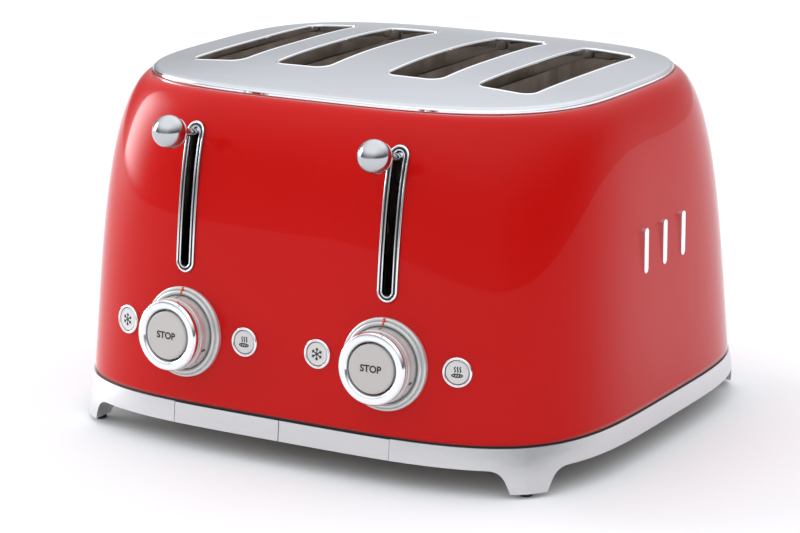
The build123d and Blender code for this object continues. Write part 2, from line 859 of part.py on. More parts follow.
def make_crumb_tray(sign):
    middle = sign * TRAY_SEAM / 2
    with BuildPart() as tray:
        with BuildSketch(level(TRAY_LOW)):
            with BuildLine():
                Spline(*plan(SHELL_X - 2.6, SHELL_Y - 2.6, LOW_POWER), periodic=True)
            make_face()
            with Locations((middle, TRAY_BACK - 150)):
                Rectangle(TRAY_SEAM - 1.2, 300, mode=Mode.INTERSECT)
        extrude(amount=TRAY_TOP - TRAY_LOW)
        with BuildSketch(level(TRAY_LOW + TRAY_WALL)):
            with Locations((middle, (TRAY_BACK - SHELL_Y + 2) / 2)):
                Rectangle(TRAY_SEAM - 1.2 - 2 * TRAY_WALL, TRAY_BACK + SHELL_Y - 2 - 8)
        extrude(amount=20, mode=Mode.SUBTRACT)
    return tray.part


def make_tray_front(sign):
    """The piece of the band that is the front of a crumb tray."""
    with BuildPart() as front:
        for z, flare in ((BAND_LOW, 1.0), (BAND_TOP - 0.3, 0.03)):
            growth = 0.6 + BAND_FLARE * flare
            with BuildSketch(level(z)):
                with BuildLine():
                    for points in horned_sides(SHELL_X + growth, SHELL_Y + growth, 0.2):
                        Spline(*points)
                make_face()
        loft()
        with BuildSketch(level(BAND_LOW - 1)):
            with BuildLine():
                Spline(*plan(SHELL_X - 2.6, SHELL_Y - 2.6, LOW_POWER), periodic=True)
            make_face()
        extrude(amount=20, mode=Mode.SUBTRACT)
        with BuildSketch(level(BAND_LOW - 1)):
            with Locations((sign * TRAY_SEAM / 2, -SHELL_Y)):
                Rectangle(TRAY_SEAM - 0.5, 60)
        extrude(amount=20, mode=Mode.INTERSECT)
    return front.part


# Finished pieces ----------------------------------------------------------------------------------
save(make_shell(), "outer_shell")
save(make_top_plate(), "top_plate")
save(make_band(), "base_band")
save(make_gasket(), "seam_gasket")
save(make_floor(), "base_plate")
save(make_feet(), "foot_pads")
save(make_screws(), "base_screws")
save(make_gland(), "cord_gland")
save(make_badge(), "side_trim")
save(make_end_plate(FRONT_PLATE_Y + SHEET, -1), "front_end_plate")
save(make_end_plate(REAR_PLATE_Y, 1), "rear_end_plate")
save(make_centre_shield(), "centre_shield")
save(make_heater_ribbons(), "heater_ribbons")

rings = [make_button_ring(plane) for name, plane in CONTROLS.items() if not name.startswith("dial")]
save(Compound(children=rings), "button_rings")

for side, sign in SIDES:
    dial = CONTROLS[f"dial_{side}"]
    save(make_lever_bezel(sign), f"lever_bezel_{side}")
    save(make_dial_ring(dial), f"dial_ring_{side}")
    save(make_side_shield(sign), f"outer_shield_{side}")
    save(make_guide_rod(sign), f"guide_rod_{side}")
    save(make_lift_spring(sign), f"lift_spring_{side}")
    save(make_control_board(dial, sign), f"control_board_{side}")
    save(make_dial_pot(dial), f"dial_pot_{side}")
    save(make_latch_magnet(sign), f"latch_magnet_{side}")
    save(make_carriage(sign), f"carriage_{side}")
    save(make_lever(sign), f"lever_ball_{side}")
    save(make_knob(dial), f"browning_knob_{side}")
    save(make_stop_button(dial), f"stop_button_{side}")
    save(make_small_button(CONTROLS[f"defrost_{side}"]), f"defrost_button_{side}")
    save(make_small_button(CONTROLS[f"reheat_{side}"]), f"reheat_button_{side}")
    save(make_guards(sign, 1), f"guards_{side}_to_right")
    save(make_guards(sign, -1), f"guards_{side}_to_left")
    save(make_crumb_tray(sign), f"crumb_tray_{side}")
    save(make_tray_front(sign), f"tray_front_{side}")
    for place, x in zip(("inner", "outer"), slot_centres(sign)):
        save(make_liner(x), f"slot_liner_{side}_{place}")
    for place, x in zip(("inner", "middle", "outer"), heater_places(sign)):
        save(make_heater_board(x), f"heater_board_{side}_{place}")
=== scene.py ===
import json
import math

import bmesh
import bpy
from mathutils import Matrix, Vector


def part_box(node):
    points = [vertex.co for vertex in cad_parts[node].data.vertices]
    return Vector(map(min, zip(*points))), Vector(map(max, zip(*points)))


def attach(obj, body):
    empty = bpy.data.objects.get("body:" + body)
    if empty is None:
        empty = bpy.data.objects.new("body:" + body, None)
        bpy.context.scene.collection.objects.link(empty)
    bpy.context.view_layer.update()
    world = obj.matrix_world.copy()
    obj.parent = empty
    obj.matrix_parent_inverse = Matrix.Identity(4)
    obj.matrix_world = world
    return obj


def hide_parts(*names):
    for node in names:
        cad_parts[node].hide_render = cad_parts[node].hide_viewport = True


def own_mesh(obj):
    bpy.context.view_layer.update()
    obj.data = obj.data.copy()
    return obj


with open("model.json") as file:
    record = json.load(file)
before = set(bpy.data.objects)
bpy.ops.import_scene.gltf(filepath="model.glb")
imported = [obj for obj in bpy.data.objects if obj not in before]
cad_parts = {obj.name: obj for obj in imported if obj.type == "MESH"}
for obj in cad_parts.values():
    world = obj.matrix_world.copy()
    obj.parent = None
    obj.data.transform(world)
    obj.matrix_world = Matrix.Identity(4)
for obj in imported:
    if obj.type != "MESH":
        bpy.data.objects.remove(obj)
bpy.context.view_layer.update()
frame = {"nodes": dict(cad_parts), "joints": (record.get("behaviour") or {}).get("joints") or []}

bl_info = {
    "name": "Pop-up Toaster",
    "version": (1, 0, 0),
    "blender": (4, 5, 0),
    "location": "View3D > Sidebar > Toaster",
    "description": "Builds the finished look of a square pop-up toaster round its CAD frame",
    "category": "Object",
}

MM = 0.001
NODES = frame["nodes"]
SIDES = (("left", -1), ("right", 1))

# Places and sizes that the frame gives, in metres -------------------------------------------------
SHELL_LOW_CORNER, SHELL_HIGH_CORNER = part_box("outer_shell")
PLATE_LOW_CORNER, PLATE_HIGH_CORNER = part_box("top_plate")
BODY_Y = (SHELL_LOW_CORNER.y + SHELL_HIGH_CORNER.y) / 2
SHELL_X = (SHELL_HIGH_CORNER.x - SHELL_LOW_CORNER.x) / 2
SHELL_Y = (SHELL_HIGH_CORNER.y - SHELL_LOW_CORNER.y) / 2
SHELL_LOW = SHELL_LOW_CORNER.z
SHELL_TOP = SHELL_HIGH_CORNER.z
TOP_X = (PLATE_HIGH_CORNER.x - PLATE_LOW_CORNER.x) / 2
TOP_Y = (PLATE_HIGH_CORNER.y - PLATE_LOW_CORNER.y) / 2
TOP_GAP = 0.3 * MM
TAPER_X = SHELL_X - TOP_X - TOP_GAP
TAPER_Y = SHELL_Y - TOP_Y - TOP_GAP
CROWN_Z = PLATE_HIGH_CORNER.z
LOW_POWER = 4.1
TOP_POWER = 3.4
LEAN = 0.38
SHOULDER_POWER = 4
SHOULDER_ROUND = 0.52


def joint(name):
    """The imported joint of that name."""
    return next(j for j in frame["joints"] if j["name"] == name)


def box_centre(node):
    low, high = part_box(node)
    return (low + high) / 2


# Sizes and colours that a user may change ---------------------------------------------------------
def length(name, description, default):
    return bpy.props.FloatProperty(
        name=name, description=description, default=default * MM, unit="LENGTH"
    )


def colour(name, description, default):
    return bpy.props.FloatVectorProperty(
        name=name, description=description, default=default, size=3, subtype="COLOR", min=0.0, max=1.0
    )


class ToasterSizes(bpy.types.PropertyGroup):
    """Small sizes that the frame doesn't carry."""

    shell_wall: length("Shell wall", "Thickness of the enamelled sheet", 1.4)
    rim_roll: length("Rim roll", "Radius of the top plate's rolled edge", 3.2)
    collar_proud: length("Collar bead", "How far the slots' bead stands over the plate", 0.3)
    bezel_width: length("Bezel width", "Width of a lever slot's frame", 12.2)
    lever_gap: length("Lever gap", "Width of a lever slot's opening", 6.0)
    icon_line: length("Icon line", "Half the width of the icons' lines", 0.33)
    stop_text: length("Stop letters", "Height of the word on the stop buttons", 5.4)


class ToasterColours(bpy.types.PropertyGroup):
    """Base colours of the finishes."""

    enamel: colour("Enamel", "Glossy body enamel", (0.55, 0.0035, 0.002))
    plate: colour("Top plate", "Brushed top plate", (0.60, 0.615, 0.65))
    band: colour("Base band", "Satin base band", (0.72, 0.72, 0.73))
    chrome: colour("Chrome", "Polished chrome", (0.86, 0.87, 0.89))
    cap: colour("Button caps", "Pearly plastic of the pressed faces", (0.56, 0.53, 0.51))
    button: colour("Small buttons", "Pale plastic of the small buttons", (0.70, 0.69, 0.68))
    silver: colour("Silver", "Silver paint of the knobs' skirts and the rings", (0.66, 0.67, 0.66))
    ink: colour("Ink", "Printed letters and icons", (0.02, 0.02, 0.02))
    pointer: colour("Pointer", "The dial's red mark", (0.80, 0.05, 0.01))


def sizes():
    return bpy.context.scene.toaster_sizes


def colours():
    return bpy.context.scene.toaster_colours


# Shared shader effects ----------------------------------------------------------------------------
def effect(name, inputs, outputs, build):
    """A shader node group, built once, with named inputs and outputs."""
    group = bpy.data.node_groups.get(name)
    if group:
        return group
    group = bpy.data.node_groups.new(name, "ShaderNodeTree")
    for label, kind, value in inputs:
        socket = group.interface.new_socket(name=label, in_out="INPUT", socket_type=kind)
        if value is not None:
            socket.default_value = value
    for label, kind in outputs:
        group.interface.new_socket(name=label, in_out="OUTPUT", socket_type=kind)
    build(group, group.nodes.new("NodeGroupInput"), group.nodes.new("NodeGroupOutput"))
    return group


def noise(tree, scale, detail, stretch=(1.0, 1.0, 1.0)):
    """A noise texture on object coordinates, stretched along the axes."""
    place = tree.nodes.new("ShaderNodeTexCoord")
    mapping = tree.nodes.new("ShaderNodeMapping")
    mapping.inputs["Scale"].default_value = stretch
    texture = tree.nodes.new("ShaderNodeTexNoise")
    texture.inputs["Scale"].default_value = scale
    texture.inputs["Detail"].default_value = detail
    tree.links.new(place.outputs["Object"], mapping.inputs["Vector"])
    tree.links.new(mapping.outputs["Vector"], texture.inputs["Vector"])
    return texture


def remap(tree, source, low, high):
    """A 0 to 1 value spread between two inputs or numbers."""
    node = tree.nodes.new("ShaderNodeMapRange")
    tree.links.new(source, node.inputs["Value"])
    for socket, value in (("To Min", low), ("To Max", high)):
        if isinstance(value, float):
            node.inputs[socket].default_value = value
        else:
            tree.links.new(value, node.inputs[socket])
    return node.outputs["Result"]


def build_handling(group, source, sink):
    """Soft smudges from hands and cloths: a roughness that wanders."""
    texture = noise(group, 38.0, 5.0)
    result = remap(group, texture.outputs["Fac"], source.outputs["Low"], source.outputs["High"])
    group.links.new(result, sink.inputs["Roughness"])


def handling():
    floats = [("Low", "NodeSocketFloat", 0.1), ("High", "NodeSocketFloat", 0.2)]
    return effect("Handling marks", floats, [("Roughness", "NodeSocketFloat")], build_handling)


def build_brushing(group, source, sink):
    """Fine straight scratches along X: a height, and a brightness for the base colour."""
    fine = noise(group, 1.0, 3.0, (18.0, 2600.0, 2600.0))
    broad = noise(group, 1.0, 2.0, (5.0, 420.0, 420.0))
    mix = group.nodes.new("ShaderNodeMix")
    mix.inputs["Factor"].default_value = 0.35
    group.links.new(fine.outputs["Fac"], mix.inputs["A"])
    group.links.new(broad.outputs["Fac"], mix.inputs["B"])
    group.links.new(mix.outputs["Result"], sink.inputs["Height"])
    shade = remap(group, mix.outputs["Result"], 0.90, 1.06)
    tint = group.nodes.new("ShaderNodeVectorMath")
    tint.operation = "SCALE"
    group.links.new(source.outputs["Colour"], tint.inputs["Vector"])
    group.links.new(shade, tint.inputs["Scale"])
    group.links.new(tint.outputs["Vector"], sink.inputs["Colour"])
    rough = remap(group, mix.outputs["Result"], source.outputs["Low"], source.outputs["High"])
    group.links.new(rough, sink.inputs["Roughness"])


def brushing():
    inputs = [
        ("Colour", "NodeSocketColor", (0.7, 0.7, 0.7, 1.0)),
        ("Low", "NodeSocketFloat", 0.25),
        ("High", "NodeSocketFloat", 0.4),
    ]
    outputs = [
        ("Colour", "NodeSocketColor"),
        ("Height", "NodeSocketFloat"),
        ("Roughness", "NodeSocketFloat"),
    ]
    return effect("Brushed lines", inputs, outputs, build_brushing)


def build_mottle(group, source, sink):
    """Heat stain and dust on bare sheet: patches between two colours, with matt spots."""
    patches = noise(group, 55.0, 6.0)
    spots = noise(group, 420.0, 2.0)
    blend = group.nodes.new("ShaderNodeMix")
    blend.data_type = "RGBA"
    ramp = remap(group, patches.outputs["Fac"], -0.6, 1.6)
    group.links.new(ramp, blend.inputs["Factor"])
    group.links.new(source.outputs["Clean"], blend.inputs["A"])
    group.links.new(source.outputs["Stained"], blend.inputs["B"])
    group.links.new(blend.outputs["Result"], sink.inputs["Colour"])
    group.links.new(remap(group, spots.outputs["Fac"], 0.30, 0.62), sink.inputs["Roughness"])


def mottle():
    inputs = [
        ("Clean", "NodeSocketColor", (0.6, 0.6, 0.6, 1.0)),
        ("Stained", "NodeSocketColor", (0.3, 0.25, 0.2, 1.0)),
    ]
    outputs = [("Colour", "NodeSocketColor"), ("Roughness", "NodeSocketFloat")]
    return effect("Heat stain", inputs, outputs, build_mottle)


# Materials ----------------------------------------------------------------------------------------
def blank(name, **settings):
    """A new material and its principled shader, with constants on the shader's own sockets."""
    material = bpy.data.materials.new(name)
    material.use_nodes = True
    shader = material.node_tree.nodes["Principled BSDF"]
    for socket, value in settings.items():
        shader.inputs[socket.replace("_", " ")].default_value = value
    return material, shader


def rgba(rgb):
    return (*rgb, 1.0)


def place_group(material, group, **values):
    """One node group in a material, with its own values."""
    node = material.node_tree.nodes.new("ShaderNodeGroup")
    node.node_tree = group
    for socket, value in values.items():
        node.inputs[socket].default_value = value
    return node


def add_bump(material, shader, height, strength, distance):
    bump = material.node_tree.nodes.new("ShaderNodeBump")
    bump.inputs["Strength"].default_value = strength
    bump.inputs["Distance"].default_value = distance
    material.node_tree.links.new(height, bump.inputs["Height"])
    material.node_tree.links.new(bump.outputs["Normal"], shader.inputs["Normal"])


def enamel():
    """Glossy fired enamel: deep colour under a clear coat, with a trace of orange peel."""
    material, shader = blank(
        "red_enamel",
        Base_Color=rgba(colours().enamel),
        Specular_IOR_Level=0.08,
        Coat_Weight=1.0,
        Coat_Roughness=0.03,
        Coat_IOR=1.18,
    )
    marks = place_group(material, handling(), Low=0.26, High=0.36)
    material.node_tree.links.new(marks.outputs["Roughness"], shader.inputs["Roughness"])
    peel = noise(material.node_tree, 260.0, 2.0)
    add_bump(material, shader, peel.outputs["Fac"], 0.05, 0.0002)
    return material


def polished(name, rgb, low, high):
    """Polished metal with faint smudges."""
    material, shader = blank(name, Base_Color=rgba(rgb), Metallic=1.0)
    marks = place_group(material, handling(), Low=low, High=high)
    material.node_tree.links.new(marks.outputs["Roughness"], shader.inputs["Roughness"])
    return material


def silvered(name, rgb, low, high):
    """Silver lacquer: half metal, half pigment, under a thin gloss."""
    material, shader = blank(
        name, Base_Color=rgba(rgb), Metallic=0.45, Coat_Weight=0.5, Coat_Roughness=0.12
    )
    marks = place_group(material, handling(), Low=low, High=high)
    material.node_tree.links.new(marks.outputs["Roughness"], shader.inputs["Roughness"])
    return material


def brushed(name, rgb, low, high, strength):
    """Metal with fine straight brushing."""
    material, shader = blank(name, Metallic=1.0)
    lines = place_group(material, brushing(), Colour=rgba(rgb), Low=low, High=high)
    links = material.node_tree.links
    links.new(lines.outputs["Colour"], shader.inputs["Base Color"])
    links.new(lines.outputs["Roughness"], shader.inputs["Roughness"])
    add_bump(material, shader, lines.outputs["Height"], strength, 0.00005)
    return material


def stained(name, clean, dirty, metallic):
    """Bare sheet that heat and crumbs have marked."""
    material, shader = blank(name, Metallic=metallic)
    marks = place_group(material, mottle(), Clean=rgba(clean), Stained=rgba(dirty))
    material.node_tree.links.new(marks.outputs["Colour"], shader.inputs["Base Color"])
    material.node_tree.links.new(marks.outputs["Roughness"], shader.inputs["Roughness"])
    return material


def moulded(name, rgb, low, high, grain=0.0):
    """Moulded plastic or rubber with a fine grain."""
    material, shader = blank(name, Base_Color=rgba(rgb), Specular_IOR_Level=0.4)
    marks = place_group(material, handling(), Low=low, High=high)
    material.node_tree.links.new(marks.outputs["Roughness"], shader.inputs["Roughness"])
    if grain:
        texture = noise(material.node_tree, 900.0, 2.0)
        add_bump(material, shader, texture.outputs["Fac"], grain, 0.0001)
    return material


FINISHES = {}


def finish(name):
    """The finished material of that name, made the first time it is asked for."""
    makers = {
        "enamel": enamel,
        "plate": lambda: brushed("brushed_plate", colours().plate, 0.24, 0.38, 0.12),
        "band": lambda: brushed("satin_band", colours().band, 0.30, 0.42, 0.06),
        "chrome": lambda: polished("chrome", colours().chrome, 0.03, 0.08),
        # The ball's chrome is darker than the other chrome: painted shade for the darker look of its
        # reflections
        "ball": lambda: polished("ball_chrome_painted_shade", (0.52, 0.53, 0.55), 0.10, 0.17),
        "satin_chrome": lambda: polished("satin_chrome", colours().chrome, 0.09, 0.17),
        "silver": lambda: silvered("silver_paint", colours().silver, 0.24, 0.34),
        "cap": lambda: moulded("pearl_cap", colours().cap, 0.30, 0.45, 0.05),
        "button": lambda: moulded("button_cap", colours().button, 0.30, 0.45, 0.05),
        "ink": lambda: moulded("ink", colours().ink, 0.45, 0.60),
        "pointer": lambda: moulded("pointer_red", colours().pointer, 0.30, 0.40),
        # Dark rubber for the gasket and the feet pads; the lever frames also use it as painted shade lines
        "seal": lambda: moulded("seal_rubber_and_painted_shade", (0.012, 0.022, 0.024), 0.50, 0.70, 0.2),
        "black": lambda: moulded("black_plastic", (0.02, 0.02, 0.02), 0.40, 0.60, 0.3),
        "sheet": lambda: stained("stained_sheet", (0.55, 0.53, 0.50), (0.28, 0.22, 0.17), 0.85),
        "liner": lambda: stained("liner_sheet", (0.52, 0.45, 0.39), (0.26, 0.20, 0.16), 0.70),
        "wire": lambda: polished("bright_wire", (0.82, 0.82, 0.82), 0.20, 0.34),
        "mica": lambda: stained("mica", (0.42, 0.33, 0.22), (0.24, 0.17, 0.11), 0.0),
        "ribbon": lambda: stained("heater_ribbon", (0.34, 0.30, 0.28), (0.20, 0.15, 0.13), 0.9),
        "board": lambda: moulded("circuit_board", (0.02, 0.12, 0.05), 0.35, 0.50, 0.1),
    }
    if name not in FINISHES:
        FINISHES[name] = makers[name]()
    return FINISHES[name]


# Mesh helpers -------------------------------------------------------------------------------------
def tinted(piece, test):
    """Gives the piece's second finish to each face whose index passes a test."""
    for polygon in piece.data.polygons:
        polygon.material_index = 1 if test(polygon.index) else 0


def new_piece(name, mesh, finishes, body, replaces=(), smooth_angle=40.0):
    """Links a mesh as a finished piece that rides on a body."""
    piece = bpy.data.objects.new(name, mesh)
    bpy.context.scene.collection.objects.link(piece)
    for label in finishes:
        mesh.materials.append(finish(label))
    for polygon in mesh.polygons:
        polygon.use_smooth = True
    mesh.set_sharp_from_angle(angle=math.radians(smooth_angle))
    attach(piece, body)
    if replaces:
        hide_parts(*replaces)
    return piece


def grid_mesh(name, rings, close_start=False, close_end=False, wrap_rings=False):
    """A mesh from closed rings of points, each joined to the next."""
    mesh = bpy.data.meshes.new(name)
    count = len(rings[0])
    points = [point for ring in rings for point in ring]
    faces = []
    for row in range(len(rings) if wrap_rings else len(rings) - 1):
        low, high = row * count, ((row + 1) % len(rings)) * count
        for k in range(count):
            after = (k + 1) % count
            faces.append((low + k, low + after, high + after, high + k))
    if close_start:
        faces.append(tuple(reversed(range(count))))
    if close_end:
        last = (len(rings) - 1) * count
        faces.append(tuple(last + k for k in range(count)))
    mesh.from_pydata(points, [], faces)
    mesh.update()
    return mesh


def baked(piece):
    """The piece's mesh with its modifiers applied."""
    graph = bpy.context.evaluated_depsgraph_get()
    mesh = bpy.data.meshes.new_from_object(piece.evaluated_get(graph))
    piece.modifiers.clear()
    old = piece.data
    piece.data = mesh
    bpy.data.meshes.remove(old)
    return piece


def rounded_profile(corners, radius, steps=4):
    """A polyline with its inner corners rounded."""
    points = [Vector(corner) for corner in corners]
    result = [points[0]]
    for before, corner, after in zip(points, points[1:], points[2:]):
        reach = min(radius, (before - corner).length * 0.45, (after - corner).length * 0.45)
        start = corner + (before - corner).normalized() * reach
        end = corner + (after - corner).normalized() * reach
        for k in range(steps + 1):
            t = k / steps
            result.append(start * (1 - t) ** 2 + corner * 2 * t * (1 - t) + end * t**2)
    result.append(points[-1])
    return result


def lathe(name, profile, matrix, segments=96, close_start=False, close_end=False):
    """A mesh of revolution about the matrix's z axis from (radius, height) points in metres."""
    rings = []
    for radius, height in profile:
        ring = []
        for k in range(segments):
            angle = 2 * math.pi * k / segments
            ring.append(matrix @ Vector((radius * math.cos(angle), radius * math.sin(angle), height)))
        rings.append(ring)
    return grid_mesh(name, rings, close_start, close_end)


# The body's form ----------------------------------------------------------------------------------
def taper_share(t):
    """How much of the taper is used at height share t."""
    return LEAN * t + (1 - LEAN) * (1 - (1 - t**SHOULDER_POWER) ** SHOULDER_ROUND)


def body_section(z):
    """Half width, half depth and power of the body's plan at height z."""
    share = taper_share(min(max((z - SHELL_LOW) / (SHELL_TOP - SHELL_LOW), 0.0), 1.0))
    power = LOW_POWER + (TOP_POWER - LOW_POWER) * share
    return SHELL_X - TAPER_X * share, SHELL_Y - TAPER_Y * share, power


def plan_point(half_x, half_y, power, angle):
    c, s = math.cos(angle), math.sin(angle)
    reach = ((abs(c) / half_x) ** power + (abs(s) / half_y) ** power) ** (-1 / power)
    return reach * c, reach * s


def front_y(x, z):
    """The body's front surface at x and z, from the body's centre."""
    half_x, half_y, power = body_section(z)
    return -half_y * (1 - (abs(x) / half_x) ** power) ** (1 / power)


def front_normal(x, z):
    step = MM
    along = (front_y(x + step, z) - front_y(x - step, z)) / (2 * step)
    upward = (front_y(x, z + step) - front_y(x, z - step)) / (2 * step)
    return Vector((along, -1, upward)).normalized()


def control_matrix(x, z):
    """A frame on the front surface: z points out, x is level, y is up the surface."""
    out = front_normal(x, z)
    level = Vector((-out.y, out.x, 0)).normalized()
    rise = out.cross(level)
    matrix = Matrix((level, rise, out)).transposed().to_4x4()
    matrix.translation = Vector((x, BODY_Y + front_y(x, z), z))
    return matrix


def even_angles(count, fine=4096):
    """Polar angles that step evenly along the base plan's outline."""
    reach = [0.0]
    last = plan_point(SHELL_X, SHELL_Y, LOW_POWER, 0.0)
    for k in range(1, fine + 1):
        point = plan_point(SHELL_X, SHELL_Y, LOW_POWER, 2 * math.pi * k / fine)
        reach.append(reach[-1] + math.dist(point, last))
        last = point
    angles, k = [], 0
    for step in range(count):
        target = reach[-1] * step / count
        while reach[k + 1] < target:
            k += 1
        angles.append(2 * math.pi * (k + (target - reach[k]) / (reach[k + 1] - reach[k])) / fine)
    return angles


BALL_R = 9.5 * MM
BALL_RISE = 5.1 * MM  # how far the ball's centre is above the stem's inner run
LEVER_X = box_centre("lever_ball_right").x
BALL_LOW, BALL_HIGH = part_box("lever_ball_right")
LEVER_Z = BALL_HIGH.z - BALL_R - BALL_RISE
LEVER_TRAVEL = joint("lever_right")["range_m"][1]
SHELL_COLUMNS = 600
SHELL_ROWS = 96
ROW_CROWDING = 1.35  # over 1, the rows stand closer towards the rounded shoulder


class TOASTER_OT_shell(bpy.types.Operator):
    """Builds the enamelled shell, open behind the lever slots"""

    bl_idname = "toaster.shell"
    bl_label = "Enamelled shell"

    def execute(self, context):
        rings = []
        angles = even_angles(SHELL_COLUMNS)
        for row in range(SHELL_ROWS + 1):
            rise = 1 - (1 - row / SHELL_ROWS) ** ROW_CROWDING
            z = SHELL_LOW + rise * (SHELL_TOP - SHELL_LOW)
            section = body_section(z)
            flat = [plan_point(*section, angle) for angle in angles]
            rings.append([Vector((x, y + BODY_Y, z)) for x, y in flat])
        mesh = grid_mesh("outer_shell_enamel", rings)
        self.open_slots(mesh)
        shell = new_piece("outer_shell_enamel", mesh, ["enamel"], "base", ["outer_shell"])
        wall = shell.modifiers.new("wall", "SOLIDIFY")
        wall.thickness = sizes().shell_wall
        wall.offset = -1.0
        baked(shell)
        return {"FINISHED"}

    def open_slots(self, mesh):
        """Takes out the faces that the lever slots' frames ring round."""
        half = (sizes().bezel_width + sizes().lever_gap) / 4
        work = bmesh.new()
        work.from_mesh(mesh)
        gone = []
        for face in work.faces:
            middle = face.calc_center_median()
            if middle.y > 0:
                continue
            low, high = LEVER_Z - LEVER_TRAVEL, LEVER_Z
            drop = max(low - middle.z, 0.0, middle.z - high)
            if math.hypot(abs(middle.x) - LEVER_X, drop) < half:
                gone.append(face)
        bmesh.ops.delete(work, geom=gone, context="FACES")
        work.to_mesh(mesh)
        work.free()


# The top plate ------------------------------------------------------------------------------------
CROWN_DROP = 8.4 * MM
RIM_LOW = PLATE_LOW_CORNER.z
PLATE_COLUMNS = 320
PLATE_RINGS = 44
SLOTS = [name for name in sorted(NODES) if name.startswith("slot_liner")]
LINER_WALL = 1.3 * MM
COLLAR_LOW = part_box(SLOTS[0])[1].z
SLOT_CORNER = 7.5 * MM


def crown_share(x, y):
    """0 at the top plate's centre and 1 at its rim."""
    return ((abs(x) / TOP_X) ** TOP_POWER + (abs(y - BODY_Y) / TOP_Y) ** TOP_POWER) ** (1 / TOP_POWER)


def crown_z(x, y):
    return CROWN_Z - CROWN_DROP * crown_share(x, y) ** 2


def slot_outline(node, grow):
    """A slot's rounded outline, with its outward direction at each point."""
    low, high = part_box(node)
    centre = (low + high) / 2
    half_x = (high.x - low.x) / 2 - LINER_WALL - SLOT_CORNER
    half_y = (high.y - low.y) / 2 - LINER_WALL - SLOT_CORNER
    reach = SLOT_CORNER + grow
    result = []
    for quarter, (sx, sy) in enumerate(((1, 1), (-1, 1), (-1, -1), (1, -1))):
        for k in range(13):
            angle = math.pi / 2 * (quarter + k / 12)
            way = Vector((math.cos(angle), math.sin(angle), 0))
            result.append((centre + Vector((sx * half_x, sy * half_y, 0)) + way * reach, way))
        runs = 28 if quarter % 2 else 8
        turn = math.pi / 2 * (quarter + 1)
        way = Vector((math.cos(turn), math.sin(turn), 0))
        nx, ny = ((-1, 1), (-1, -1), (1, -1), (1, 1))[quarter]
        start = result[-1][0]
        end = centre + Vector((nx * half_x, ny * half_y, 0)) + way * reach
        for k in range(1, runs):
            result.append((start.lerp(end, k / runs), way))
    return result


POLISHED_ROWS = 6  # the rows of the rolled edge that are bright, from its foot up


class TOASTER_OT_top_plate(bpy.types.Operator):
    """Builds the domed top plate with its rolled rim and slot openings"""

    bl_idname = "toaster.top_plate"
    bl_label = "Top plate"

    def execute(self, context):
        roll = sizes().rim_roll
        angles = even_angles(PLATE_COLUMNS)
        profile = [(1.4 * MM, RIM_LOW + 0.2 * MM), (0.3 * MM, RIM_LOW), (0.0, RIM_LOW + 0.4 * MM)]
        roll_low = crown_z(TOP_X - roll, BODY_Y) - roll
        for k in range(9):
            turn = math.pi / 2 * k / 8
            profile.append((roll - roll * math.cos(turn), roll_low + roll * math.sin(turn)))
        edge = 1 - roll / TOP_X
        rings = []
        for inset, z in profile:
            flat = [plan_point(TOP_X - inset, TOP_Y - inset, TOP_POWER, angle) for angle in angles]
            rings.append([Vector((x, y + BODY_Y, z)) for x, y in flat])
        for k in range(1, PLATE_RINGS):
            share = edge * (1 - k / PLATE_RINGS)
            flat = [plan_point(TOP_X * share, TOP_Y * share, TOP_POWER, angle) for angle in angles]
            rings.append([Vector((x, y + BODY_Y, crown_z(x, y + BODY_Y))) for x, y in flat])
        mesh = grid_mesh("top_plate_dome", rings, close_end=True)
        plate = new_piece(
            "top_plate_dome", mesh, ["plate", "chrome"], "base", ["top_plate"], 60.0
        )
        tinted(plate, lambda index: index < POLISHED_ROWS * PLATE_COLUMNS)
        wall = plate.modifiers.new("wall", "SOLIDIFY")
        wall.thickness = MM
        wall.offset = -1.0
        cutters = [self.cutter(node) for node in SLOTS]
        for cutter in cutters:
            cut = plate.modifiers.new("slot", "BOOLEAN")
            cut.object = cutter
            cut.operation = "DIFFERENCE"
            cut.solver = "EXACT"
        baked(plate)
        for cutter in cutters:
            bpy.data.objects.remove(cutter)
        return {"FINISHED"}

    def cutter(self, node):
        """A prism through the plate, a little wider than the slot."""
        rings = []
        for z in (COLLAR_LOW - 10 * MM, CROWN_Z + 10 * MM):
            rings.append([Vector((point.x, point.y, z)) for point, _ in slot_outline(node, 1.2 * MM)])
        mesh = grid_mesh("cutter", rings, close_start=True, close_end=True)
        cutter = bpy.data.objects.new("cutter", mesh)
        bpy.context.scene.collection.objects.link(cutter)
        return cutter


# Rows of (outward, height, measured from the collar's foot rather than from the plate)
COLLAR_ROWS = (
    (1.75, -0.3, False), (1.6, 0.05, False), (1.25, 0.6, False), (0.8, 1.0, False), (0.35, 0.75, False),
    (0.05, 0.1, False), (0.0, -1.2, False), (0.0, 1.2, True), (0.12, 0.35, True), (0.4, 0.0, True),
    (0.9, 0.2, True), (1.0, 1.5, True), (1.05, -1.6, False),
)


class TOASTER_OT_collars(bpy.types.Operator):
    """Builds the polished collars that line the bread slots"""

    bl_idname = "toaster.collars"
    bl_label = "Slot collars"

    def execute(self, context):
        proud = sizes().collar_proud
        for node in SLOTS:
            rings = []
            for offset, height, low in COLLAR_ROWS:
                ring = []
                for point, way in slot_outline(node, 0.0):
                    place = point + way * offset * MM
                    scale = proud if height > 0 and not low else MM
                    base = COLLAR_LOW if low else crown_z(place.x, place.y)
                    ring.append(Vector((place.x, place.y, base + height * scale)))
                rings.append(ring)
            mesh = grid_mesh(f"collar_{node}", rings)
            mesh.flip_normals()
            name = f"collar_{node.removeprefix('slot_liner_')}"
            new_piece(name, mesh, ["chrome"], "base", smooth_angle=70.0)
        return {"FINISHED"}


# The base -----------------------------------------------------------------------------------------
def dress(names, label):
    """Gives CAD nodes, by the start of their names, a finished material."""
    for name, node in NODES.items():
        if not name.startswith(names):
            continue
        for k in range(len(node.data.materials)):
            node.data.materials[k] = finish(label)
        if not node.data.materials:
            node.data.materials.append(finish(label))


